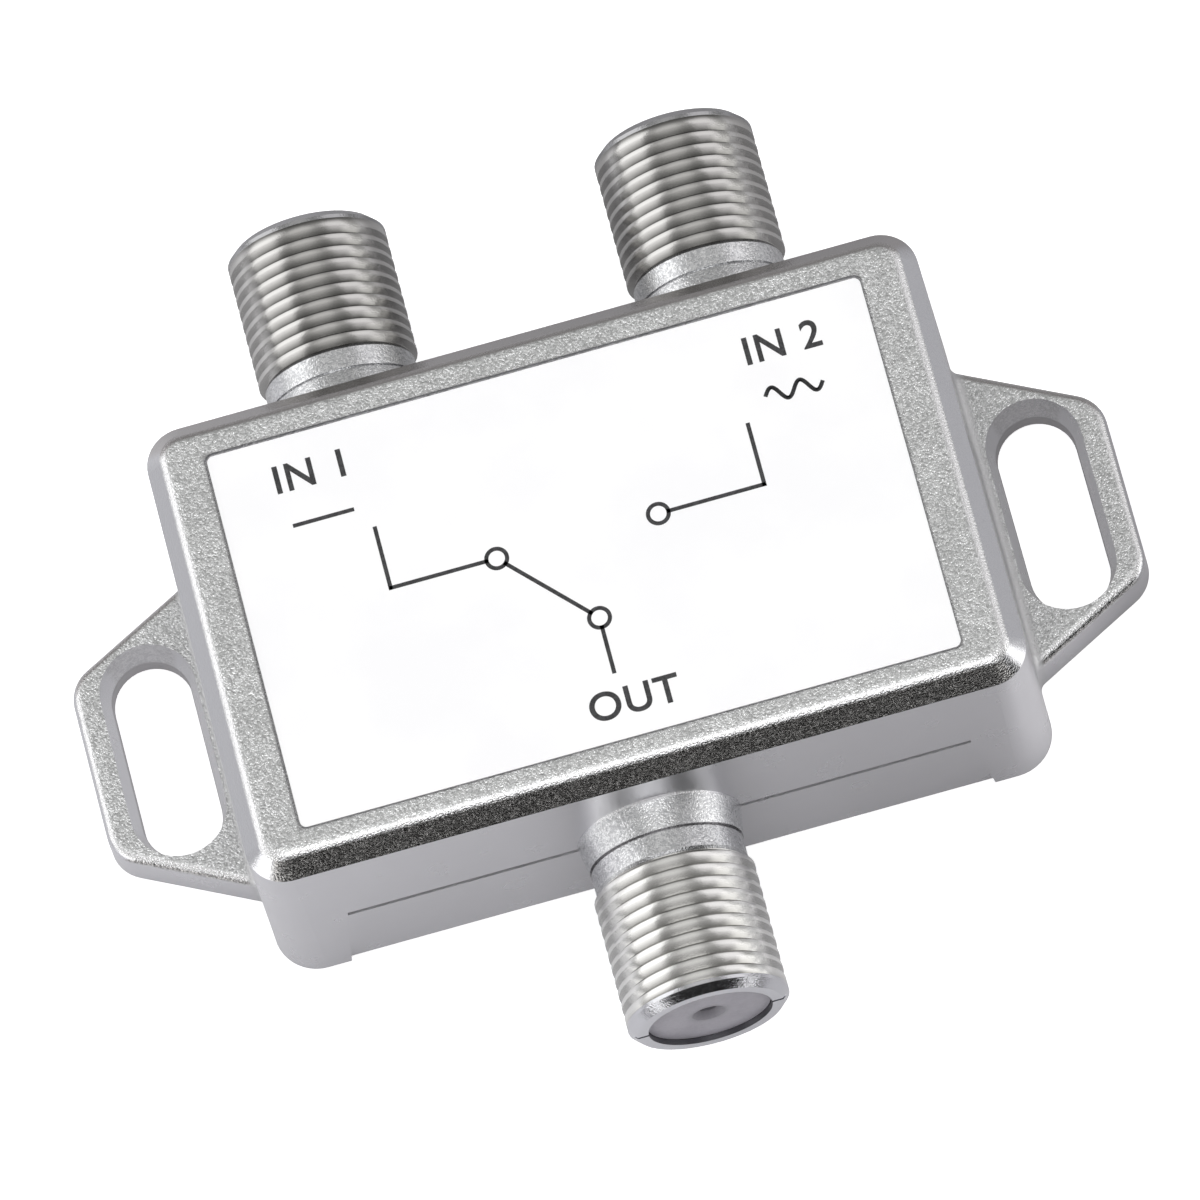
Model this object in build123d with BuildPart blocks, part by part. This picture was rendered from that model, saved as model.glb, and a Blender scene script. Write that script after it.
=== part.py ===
from build123d import *
import math
import os

os.makedirs("parts", exist_ok=True)

# Casting, with its length and depth at the mounting plane, in millimetres and degrees
body_length = 46.7
body_depth = 29.4
body_height = 15.8
draft_angle = 1.27
corner_radius = 2.6
top_bevel_height = 1.35
top_bevel_depth = 1.1
top_bevel_radius = 0.85
wall = 2.0
roof = 1.7
inner_corner_radius = 1.2
overrun = 1.0

# Label and the shallow recess that holds it
label_length = 39.0
label_depth = 23.55
label_shift = 0.15
label_thickness = 0.2
label_corner_radius = 0.4
label_clearance = 0.15
label_recess_depth = 0.3

# Mounting ears, level with the mounting plane, and their slots
ear_length = 7.95
ear_root_width = 19.6
ear_tip_width = 11.2
ear_thickness = 2.8
ear_corner_radius = 2.3
ear_edge_radius = 0.6
ear_root_radius = 0.6
slot_offset = 3.45
slot_width = 4.7
slot_length = 12.4
slot_flare = 0.5
slot_land = 0.9

# Threaded barrels of the three sockets: two inputs at the rear, one output at the front
port_height = 7.2
input_inset = 12.21
barrel_length = 12.02
thread_diameter = 9.525
inch = 25.4
threads_per_inch = 32
thread_turns = 10
thread_depth = 0.38
crest_share = 0.36
root_share = 0.16
collar_root_diameter = 9.7
collar_diameter = 9.1
collar_length = 1.77
ring_groove = 0.16
neck_diameter = 9.0
end_band_length = 0.29
end_chamfer = 0.46
rim_diameter = 8.6
bore_diameter = 7.3
bore_floor = 0.8
wall_hole_diameter = 4.6
rim_tick = 0.22

# Parting line of the casting and the side slides of its mould
seam_length = 37.1
seam_height = 0.4
seam_depth = 0.25
slide_length = 38.7
slide_setback = 0.3

# Back cover in its rebate
cover_thickness = 0.8
cover_recess = 0.1
cover_ledge = 0.9
cover_clearance = 0.08

# Circuit board on two bosses, held by two screws
board_thickness = 1.2
board_clearance = 0.4
boss_diameter = 4.4
boss_inset = 5.15
screw_diameter = 2.0
screw_length = 5.0
screw_clearance = 0.05
screw_head_diameter = 3.8
screw_head_height = 1.3
screw_slot_width = 0.5
screw_slot_depth = 0.6
board_hole_clearance = 0.2

# Insulators and sprung contact of one socket
insulator_clearance = 0.03
front_insulator_thickness = 2.3
front_insulator_recess = 0.35
wire_hole_diameter = 1.2
funnel_diameter = 2.0
funnel_depth = 0.4
rear_flange_thickness = 2.0
tail_width = 1.2
tail_thickness = 0.3
tail_clearance = 0.05
tail_overlap = 2.4
base_width = 1.8
base_thickness = 0.3
leaf_width = 1.2
leaf_thickness = 0.2
leaf_gap = 0.06
leaf_tip_gap = 0.35
leaf_root_height = 1.1
leaf_pinch_height = 0.22
leaf_tip_height = 0.62
lead_in_length = 0.9
base_margin = 0.25
solder_width = 2.2
solder_height = 0.6
solder_slope = 25.0

# Lead frame and packages of the parts on the board
lead_thickness = 0.2
chip_length = 4.9
chip_width = 3.9
chip_height = 1.5
chip_lead_pitch = 1.27
chip_lead_width = 0.42
chip_lead_reach = 1.05
chip_side_lead_count = 4
standoff = 0.1
power_length = 4.5
power_width = 2.5
power_height = 1.5
power_lead_pitch = 1.5
power_lead_width = 0.45
power_lead_reach = 0.9
power_tab_width = 1.7
power_tab_reach = 0.6
driver_length = 2.9
driver_width = 1.3
driver_height = 1.0
driver_lead_pitch = 0.95
driver_lead_width = 0.4
driver_lead_reach = 0.55
diode_length = 1.7
diode_width = 1.25
diode_height = 0.9
diode_lead_width = 0.3
diode_lead_reach = 0.4
can_diameter = 4.0
can_height = 4.6
can_edge_radius = 0.3
can_base_width = 4.3
can_base_height = 0.8
can_base_chamfer = 0.8
choke_length = 3.2
choke_width = 2.5
choke_height = 2.2
choke_flange = 0.5
choke_wire_diameter = 1.7
chip_cap_length = 2.0
chip_cap_width = 1.25
chip_cap_height = 0.9
chip_resistor_length = 1.6
chip_resistor_width = 0.8
chip_resistor_height = 0.45
end_cap_length = 0.35
end_cap_proud = 0.03

# Places on the board, as shares of half its length and half its depth
tone_chip_share = (0.0, 0.08)
regulator_share = (-0.36, -0.42)
switch_transistor_shares = [(-0.54, 0.3), (0.54, 0.3)]
driver_transistor_shares = [(-0.24, 0.46), (0.24, 0.46)]
diode_shares = [(-0.4, 0.68), (0.4, 0.68), (-0.16, -0.62), (0.16, -0.62)]
can_shares = [(-0.56, -0.66), (0.56, -0.66)]
choke_shares = [(-0.8, 0.66), (0.8, 0.66), (0.3, -0.84)]
chip_cap_shares = [
    (-0.1, 0.82),
    (0.1, 0.82),
    (-0.2, -0.84),
    (0.36, -0.36),
    (-0.3, 0.06),
    (0.3, 0.06),
]
resistor_shares = [
    (0.0, 0.62),
    (-0.12, -0.34),
    (0.12, -0.34),
    (0.62, -0.2),
    (-0.62, -0.2),
    (0.86, -0.36),
]

# Levels and places that follow from the sizes above
draft_slope = math.tan(math.radians(draft_angle))
thread_pitch = inch / threads_per_inch
wall_face = body_depth / 2 - port_height * draft_slope
ear_reach = body_length / 2 + ear_length
slot_place = body_length / 2 + slot_offset
input_spacing = body_length - 2 * input_inset
collar_slope = (collar_root_diameter - collar_diameter) / 2 / collar_length
cavity_length = body_length - 2 * wall
cavity_depth = body_depth - 2 * wall
cavity_height = body_height - label_recess_depth - roof
rebate_length = cavity_length + 2 * cover_ledge
rebate_depth = cavity_depth + 2 * cover_ledge
rebate_height = cover_recess + cover_thickness
rebate_corner_radius = inner_corner_radius + cover_ledge
boss_offset = cavity_length / 2 - boss_inset
board_underside = port_height + tail_thickness / 2
board_top = board_underside + board_thickness
board_inset = board_top * draft_slope + board_clearance
board_length = cavity_length - 2 * board_inset
board_depth = cavity_depth - 2 * board_inset
thread_start = barrel_length - end_chamfer - end_band_length - thread_turns * thread_pitch
rear_flange_face = bore_floor + rear_flange_thickness
front_insulator_back = barrel_length - front_insulator_recess - front_insulator_thickness
leaf_root = rear_flange_face + base_thickness + leaf_gap + leaf_thickness / 2
leaf_tip = front_insulator_back - leaf_tip_gap
leaf_pinch = leaf_tip - lead_in_length

label_plane = Plane(origin=(0, -label_shift, body_height - label_recess_depth))
front_axis = Plane(origin=(0, -wall_face, port_height), x_dir=(1, 0, 0), z_dir=(0, -1, 0))
rear_axes = [
    Plane(origin=(side * input_spacing / 2, wall_face, port_height), x_dir=(-1, 0, 0), z_dir=(0, 1, 0))
    for side in (-1, 1)
]
ports = {"input_1": rear_axes[0], "input_2": rear_axes[1], "output": front_axis}


def save(piece, name):
    """Labels a finished piece and writes it as its own file."""
    piece.label = name
    export_step(piece, f"parts/{name}.step")


def barrel_outline():
    """Points of half a barrel's section as (radius, distance from the wall)."""
    crest = thread_diameter / 2
    root = crest - thread_depth
    flank = thread_pitch * (1 - crest_share - root_share) / 2
    points = [
        (0, -wall / 2),
        (collar_root_diameter / 2 + collar_slope * wall / 2, -wall / 2),
        (collar_diameter / 2, collar_length),
        (neck_diameter / 2 - ring_groove, collar_length),
        (neck_diameter / 2 - ring_groove, collar_length + ring_groove),
        (neck_diameter / 2, collar_length + ring_groove),
        (neck_diameter / 2, thread_start - flank),
    ]
    for turn in range(thread_turns):
        start = thread_start + turn * thread_pitch
        points += [
            (root, start),
            (root, start + thread_pitch * root_share),
            (crest, start + thread_pitch * root_share + flank),
            (crest, start + thread_pitch * (root_share + crest_share) + flank),
        ]
    points += [
        (crest, barrel_length - end_chamfer),
        (rim_diameter / 2, barrel_length),
        (0, barrel_length),
    ]
    return points


# One solid barrel, along Z from the wall, before it is bored
with BuildPart() as barrel:
    with BuildSketch(Plane.XZ):
        Polygon(*barrel_outline(), align=None)
    revolve(axis=Axis.Z)

# Both ears as one plate that passes under the body
with BuildPart() as ears:
    with BuildSketch():
        Polygon(
            (ear_reach, ear_tip_width / 2),
            (body_length / 2, ear_root_width / 2),
            (-body_length / 2, ear_root_width / 2),
            (-ear_reach, ear_tip_width / 2),
            (-ear_reach, -ear_tip_width / 2),
            (-body_length / 2, -ear_root_width / 2),
            (body_length / 2, -ear_root_width / 2),
            (ear_reach, -ear_tip_width / 2),
            align=None,
        )
    extrude(amount=ear_thickness, taper=draft_angle)
    upright_edges = ears.edges().filter_by_position(Axis.Z, ear_thickness / 4, 3 * ear_thickness / 4)
    ear_middle = (body_length / 2 + ear_reach) / 2
    fillet(upright_edges.filter_by(lambda edge: abs(edge.center().X) > ear_middle), ear_corner_radius)
    top_edges = ears.edges().group_by(Axis.Z)[-1]
    fillet(top_edges.filter_by(lambda edge: abs(edge.center().X) > body_length / 2), ear_edge_radius)

# Housing: one casting with the ears, the three barrels and the board's bosses
with BuildPart() as housing:
    with BuildSketch():
        RectangleRounded(body_length, body_depth, corner_radius)
    extrude(amount=body_height, taper=draft_angle)
    # Bevel round the top, rounded where it meets the top face
    top_face = housing.faces().sort_by(Axis.Z)[-1]
    chamfer(top_face.edges(), top_bevel_depth, top_bevel_height, reference=top_face)
    fillet(housing.faces().sort_by(Axis.Z)[-1].edges(), top_bevel_radius)
    # Side slides leave the lower half of the front and rear walls set back
    slide_tilt = math.atan(slide_setback / port_height - draft_slope)
    slide_reach = port_height + overrun
    slide_side = (slide_length - seam_length) / 2 * slide_reach / port_height
    for side in (-1, 1):
        slide_plane = Plane(
            origin=(0, side * wall_face, port_height),
            x_dir=(1, 0, 0),
            z_dir=(0, side * math.cos(slide_tilt), -math.sin(slide_tilt)),
        )
        with BuildSketch(slide_plane):
            Polygon(
                (-seam_length / 2, 0),
                (seam_length / 2, 0),
                (seam_length / 2 + slide_side, side * slide_reach),
                (-seam_length / 2 - slide_side, side * slide_reach),
                align=None,
            )
        extrude(amount=overrun, mode=Mode.SUBTRACT)
        with Locations((0, side * wall_face, port_height)):
            Box(seam_length, 2 * seam_depth, seam_height, mode=Mode.SUBTRACT)
    add(ears.part)
    edges_across = housing.edges().filter_by(Axis.Y)
    ear_tops = edges_across.group_by(lambda edge: abs(edge.center().Z - ear_thickness))[0]
    ear_roots = ear_tops.filter_by(lambda edge: abs(edge.center().X) < body_length / 2)
    fillet(ear_roots, ear_root_radius)
    for axis in ports.values():
        add(barrel.part.moved(axis.location))
    # Cavity, open at the mounting plane, with the cover's rebate round its mouth
    with BuildSketch():
        RectangleRounded(cavity_length, cavity_depth, inner_corner_radius)
    extrude(amount=cavity_height, taper=draft_angle, mode=Mode.SUBTRACT)
    with BuildSketch():
        RectangleRounded(rebate_length, rebate_depth, rebate_corner_radius)
    extrude(amount=rebate_height, mode=Mode.SUBTRACT)
    # Bosses hang from the roof down to the board
    with BuildSketch(Plane.XY.offset(board_top)):
        with Locations((-boss_offset, 0), (boss_offset, 0)):
            Circle(boss_diameter / 2)
    extrude(amount=cavity_height + roof / 2 - board_top)
    with BuildSketch(Plane.XY.offset(board_top)):
        with Locations((-boss_offset, 0), (boss_offset, 0)):
            Circle(screw_diameter / 2 + screw_clearance)
    extrude(amount=screw_length - board_thickness + screw_clearance, mode=Mode.SUBTRACT)
    # Bores of the sockets
    for axis in ports.values():
        with BuildSketch(axis.offset(bore_floor)):
            Circle(bore_diameter / 2)
        extrude(amount=barrel_length, mode=Mode.SUBTRACT)
        with BuildSketch(axis.offset(-wall - overrun)):
            Circle(wall_hole_diameter / 2)
        extrude(amount=wall + overrun + bore_floor, mode=Mode.SUBTRACT)
        with Locations(axis.offset(barrel_length).location):
            Box(thread_diameter, rim_tick, 2 * rim_tick, mode=Mode.SUBTRACT)
    # Ear slots: a straight land below, flared towards the top
    slot_flare_angle = math.degrees(math.atan(slot_flare / (ear_thickness - slot_land)))
    for side in (-1, 1):
        with BuildSketch():
            with Locations((side * slot_place, 0)):
                SlotOverall(slot_length, slot_width, rotation=90)
        extrude(amount=ear_thickness + overrun, mode=Mode.SUBTRACT)
        with BuildSketch(Plane.XY.offset(slot_land)):
            with Locations((side * slot_place, 0)):
                SlotOverall(slot_length, slot_width, rotation=90)
        extrude(amount=ear_thickness - slot_land, taper=-slot_flare_angle, mode=Mode.SUBTRACT)
    # Recess of the label
    with BuildSketch(label_plane):
        RectangleRounded(
            label_length + 2 * label_clearance,
            label_depth + 2 * label_clearance,
            label_corner_radius + label_clearance,
        )
    extrude(amount=label_recess_depth + overrun, mode=Mode.SUBTRACT)
save(housing.part, "housing")

with BuildPart() as label:
    with BuildSketch(label_plane):
        RectangleRounded(label_length, label_depth, label_corner_radius)
    extrude(amount=label_thickness)
save(label.part, "label")

with BuildPart() as back_cover:
    with BuildSketch(Plane.XY.offset(cover_recess)):
        RectangleRounded(
            rebate_length - 2 * cover_clearance,
            rebate_depth - 2 * cover_clearance,
            rebate_corner_radius - cover_clearance,
        )
    extrude(amount=cover_thickness)
save(back_cover.part, "back_cover")

with BuildPart() as circuit_board:
    with BuildSketch(Plane.XY.offset(board_underside)):
        RectangleRounded(board_length, board_depth, inner_corner_radius)
        with Locations((-boss_offset, 0), (boss_offset, 0)):
            Circle(screw_diameter / 2 + board_hole_clearance, mode=Mode.SUBTRACT)
    extrude(amount=board_thickness)
save(circuit_board.part, "circuit_board")

# Pan head screws, driven upwards through the board into the bosses
with BuildPart() as board_screws:
    with BuildSketch(Plane.XY.offset(board_underside - screw_head_height)):
        with Locations((-boss_offset, 0), (boss_offset, 0)):
            Circle(screw_head_diameter / 2)
    extrude(amount=screw_head_height)
    fillet(board_screws.edges().group_by(Axis.Z)[0], screw_head_height / 3)
    with BuildSketch(Plane.XY.offset(board_underside)):
        with Locations((-boss_offset, 0), (boss_offset, 0)):
            Circle(screw_diameter / 2)
    extrude(amount=screw_length)
    with BuildSketch(Plane.XY.offset(board_underside - screw_head_height)):
        with Locations((-boss_offset, 0), (boss_offset, 0)):
            Rectangle(screw_head_diameter, screw_slot_width)
    extrude(amount=screw_slot_depth, mode=Mode.SUBTRACT)
save(board_screws.part, "board_screws")


def make_front_insulator(axis):
    """Disc in the mouth of a socket, with a funnel that leads the wire in."""
    face = front_insulator_back + front_insulator_thickness
    with BuildPart() as disc:
        with BuildSketch(axis.offset(front_insulator_back)):
            Circle(bore_diameter / 2 - insulator_clearance)
            Circle(wire_hole_diameter / 2, mode=Mode.SUBTRACT)
        extrude(amount=front_insulator_thickness)
        with BuildSketch(axis.offset(face)):
            Circle(funnel_diameter / 2)
        with BuildSketch(axis.offset(face - funnel_depth)):
            Circle(wire_hole_diameter / 2)
        loft(mode=Mode.SUBTRACT)
    return disc.part


def make_rear_insulator(axis):
    """Flanged plug on the floor of a socket's bore, slit for the contact's tail."""
    with BuildPart() as plug:
        with BuildSketch(axis.offset(-wall)):
            Circle(wall_hole_diameter / 2 - insulator_clearance)
        extrude(amount=wall + bore_floor)
        with BuildSketch(axis.offset(bore_floor)):
            Circle(bore_diameter / 2 - insulator_clearance)
        extrude(amount=rear_flange_thickness)
        with BuildSketch(axis.offset(-wall - overrun)):
            Rectangle(tail_width + 2 * tail_clearance, tail_thickness + 2 * tail_clearance)
        extrude(amount=wall + rear_flange_face + 2 * overrun, mode=Mode.SUBTRACT)
    return plug.part


def make_contact_tail(axis):
    """Base plate of the contact with its tail, which runs in under the board."""
    tail_end = -wall - board_clearance - tail_overlap
    with BuildPart() as tail:
        with BuildSketch(axis.offset(rear_flange_face)):
            Rectangle(base_width, 2 * leaf_root_height + leaf_thickness + 2 * base_margin)
        extrude(amount=base_thickness)
        with BuildSketch(axis.offset(tail_end)):
            Rectangle(tail_width, tail_thickness)
        extrude(amount=rear_flange_face - tail_end)
    return tail.part


def make_leaf(axis, side):
    """One sprung leaf with a rounded root, side 1 above the wire and -1 below it."""
    half = leaf_thickness / 2
    middle = [
        (leaf_root, leaf_root_height),
        (leaf_pinch, leaf_pinch_height),
        (leaf_tip, leaf_tip_height),
    ]
    profile = [(along, side * (height + half)) for along, height in middle]
    profile += [(along, side * (height - half)) for along, height in reversed(middle)]
    side_view = Plane(origin=axis.origin, x_dir=axis.z_dir, z_dir=axis.z_dir.cross(axis.y_dir))
    with BuildPart() as leaf:
        with BuildSketch(side_view):
            Polygon(*profile, align=None)
            with Locations((leaf_root, side * leaf_root_height)):
                Circle(half)
        extrude(amount=leaf_width / 2, both=True)
    return leaf.part


for port, axis in ports.items():
    save(make_front_insulator(axis), f"front_insulator_{port}")
    save(make_rear_insulator(axis), f"rear_insulator_{port}")
    save(make_contact_tail(axis), f"contact_tail_{port}")
    save(make_leaf(axis, 1), f"contact_leaf_upper_{port}")
    save(make_leaf(axis, -1), f"contact_leaf_lower_{port}")

# Solder under the board, round the end of each tail
with BuildPart() as solder_joints:
    for axis in ports.values():
        inward = wall + board_clearance + tail_overlap / 2
        centre = axis.origin - axis.z_dir * inward
        with BuildSketch(Plane((centre.X, centre.Y, board_underside), z_dir=(0, 0, -1))):
            Rectangle(solder_width, tail_overlap)
        extrude(amount=solder_height, taper=solder_slope)
        with Locations((centre.X, centre.Y, port_height)):
            Box(tail_width, tail_overlap + overrun, tail_thickness, mode=Mode.SUBTRACT)
save(solder_joints.part, "solder_joints")


def board_spot(share):
    """Plane on the board's underside, facing down, at a share of half its length and depth."""
    place = (share[0] * board_length / 2, share[1] * board_depth / 2, board_underside)
    return Plane(origin=place, x_dir=(1, 0, 0), z_dir=(0, 0, -1))


def leaded_package(spot, length, width, height, rows):
    """Moulded package off the board on flat leads.

    Each row of leads along X is (count, pitch, lead width, reach past the body, side of the body).
    """
    with BuildPart() as package:
        with BuildSketch(spot.offset(standoff)):
            Rectangle(length, width)
        extrude(amount=height - standoff)
        for count, pitch, lead_width, reach, side in rows:
            with BuildSketch(spot):
                with Locations((0, side * (width / 2 + reach) / 2)):
                    with GridLocations(pitch, 0, count, 1):
                        Rectangle(lead_width, width / 2 + reach)
            extrude(amount=standoff + lead_thickness)
    return package.part


def group(pieces):
    """Several like pieces as one node of separate solids."""
    with BuildPart() as together:
        add(pieces)
    return together.part


def power_package(share):
    """Flat power package with three leads on one side and a tab on the other."""
    rows = [
        (3, power_lead_pitch, power_lead_width, power_lead_reach, -1),
        (1, power_lead_pitch, power_tab_width, power_tab_reach, 1),
    ]
    return leaded_package(board_spot(share), power_length, power_width, power_height, rows)


def driver_package(share):
    """Small three-lead transistor."""
    rows = [
        (2, 2 * driver_lead_pitch, driver_lead_width, driver_lead_reach, -1),
        (1, driver_lead_pitch, driver_lead_width, driver_lead_reach, 1),
    ]
    return leaded_package(board_spot(share), driver_length, driver_width, driver_height, rows)


def diode_package(share):
    """Small two-lead diode."""
    rows = [(1, diode_width, diode_lead_width, diode_lead_reach, side) for side in (-1, 1)]
    return leaded_package(board_spot(share), diode_width, diode_length, diode_height, rows)


def chip_package(share):
    """Integrated circuit with a row of leads on each long side."""
    rows = [
        (chip_side_lead_count, chip_lead_pitch, chip_lead_width, chip_lead_reach, side)
        for side in (-1, 1)
    ]
    return leaded_package(board_spot(share), chip_length, chip_width, chip_height, rows)


save(chip_package(tone_chip_share), "tone_detector_chip")
save(power_package(regulator_share), "voltage_regulator")
save(group([power_package(share) for share in switch_transistor_shares]), "switching_transistors")
save(group([driver_package(share) for share in driver_transistor_shares]), "driver_transistors")
save(group([diode_package(share) for share in diode_shares]), "rf_diodes")

with BuildPart() as electrolytic_capacitors:
    for share in can_shares:
        spot = board_spot(share)
        with BuildSketch(spot) as can_base:
            Rectangle(can_base_width, can_base_width)
            chamfer(can_base.vertices().group_by(Axis.Y)[0], can_base_chamfer)
        extrude(amount=can_base_height)
        with BuildSketch(spot.offset(can_base_height)):
            Circle(can_diameter / 2)
        extrude(amount=can_height)
    fillet(electrolytic_capacitors.edges().group_by(Axis.Z)[0], can_edge_radius)
save(electrolytic_capacitors.part, "electrolytic_capacitors")

# Wound chokes: two square flanges and a round winding between them
with BuildPart() as rf_chokes:
    for share in choke_shares:
        spot = board_spot(share)
        for side in (-1, 1):
            with BuildSketch(spot):
                with Locations((side * (choke_length - choke_flange) / 2, 0)):
                    Rectangle(choke_flange, choke_width)
            extrude(amount=choke_height)
        winding_axis = spot.origin + spot.z_dir * choke_height / 2
        winding_end = winding_axis + spot.x_dir * (choke_length / 2 - choke_flange)
        with BuildSketch(Plane(origin=winding_end, z_dir=-spot.x_dir)):
            Circle(choke_wire_diameter / 2)
        extrude(amount=choke_length - 2 * choke_flange)
save(rf_chokes.part, "rf_chokes")


def chip_component(share, length, width, height):
    """Small block with a slightly proud metal cap on each end."""
    spot = board_spot(share)
    with BuildPart() as component:
        with BuildSketch(spot.offset(end_cap_proud)):
            Rectangle(length, width)
        extrude(amount=height - 2 * end_cap_proud)
        with BuildSketch(spot):
            with GridLocations(length - end_cap_length, 0, 2, 1):
                Rectangle(end_cap_length, width + 2 * end_cap_proud)
        extrude(amount=height)
    return component.part


chip_capacitors = [
    chip_component(share, chip_cap_length, chip_cap_width, chip_cap_height) for share in chip_cap_shares
]
save(group(chip_capacitors), "chip_capacitors")
chip_resistors = [
    chip_component(share, chip_resistor_length, chip_resistor_width, chip_resistor_height)
    for share in resistor_shares
]
save(group(chip_resistors), "chip_resistors")
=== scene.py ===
import logging
import math
from collections.abc import Iterable, Mapping, Sequence
from dataclasses import dataclass, field
from enum import Enum

import bmesh
import bpy
from mathutils import Matrix, Vector


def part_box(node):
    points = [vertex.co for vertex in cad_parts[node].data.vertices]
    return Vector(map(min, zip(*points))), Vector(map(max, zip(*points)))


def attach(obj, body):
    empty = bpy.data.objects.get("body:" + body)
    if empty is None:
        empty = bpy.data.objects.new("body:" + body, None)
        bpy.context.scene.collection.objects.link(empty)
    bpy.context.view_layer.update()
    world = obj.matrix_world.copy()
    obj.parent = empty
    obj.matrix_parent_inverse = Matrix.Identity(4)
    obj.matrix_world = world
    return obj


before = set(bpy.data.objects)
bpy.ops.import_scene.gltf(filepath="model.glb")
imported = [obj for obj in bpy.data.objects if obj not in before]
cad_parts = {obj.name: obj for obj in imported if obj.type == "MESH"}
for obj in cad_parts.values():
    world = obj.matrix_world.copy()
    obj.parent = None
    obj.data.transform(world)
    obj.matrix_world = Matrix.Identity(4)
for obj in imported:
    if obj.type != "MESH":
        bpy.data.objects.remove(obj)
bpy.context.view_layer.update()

log = logging.getLogger("satellite_switch")

MM = 0.001
BODY = "switch_box"
PORTS = ("input_1", "input_2", "output")

# Places that the model gives, in millimetres
BOARD_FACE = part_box("circuit_board")[0].z / MM
PORT_OFFSET = sum(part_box("front_insulator_input_2")[end].x for end in (0, 1)) / 2 / MM
PORT_HEIGHT = sum(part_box("front_insulator_output")[end].z for end in (0, 1)) / 2 / MM

# Where the rear ports take over from the front one along Y, and half the soft edge between two materials
PORT_CHANGE = (-1.0, 1.0)
HAIR = 0.01

Colour = tuple[float, float, float]
Pair = tuple[float, float]
Socket = bpy.types.NodeSocket
Node = bpy.types.Node
Feed = float | Colour | Socket


class Mix(Enum):
    """What a mix joins: Blender's name of it, the sockets that it reads and the socket of its result."""

    NUMBER = ("FLOAT", (0, 2, 3), 0)
    VECTOR = ("VECTOR", (0, 4, 5), 1)
    COLOUR = ("RGBA", (0, 6, 7), 2)


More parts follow.
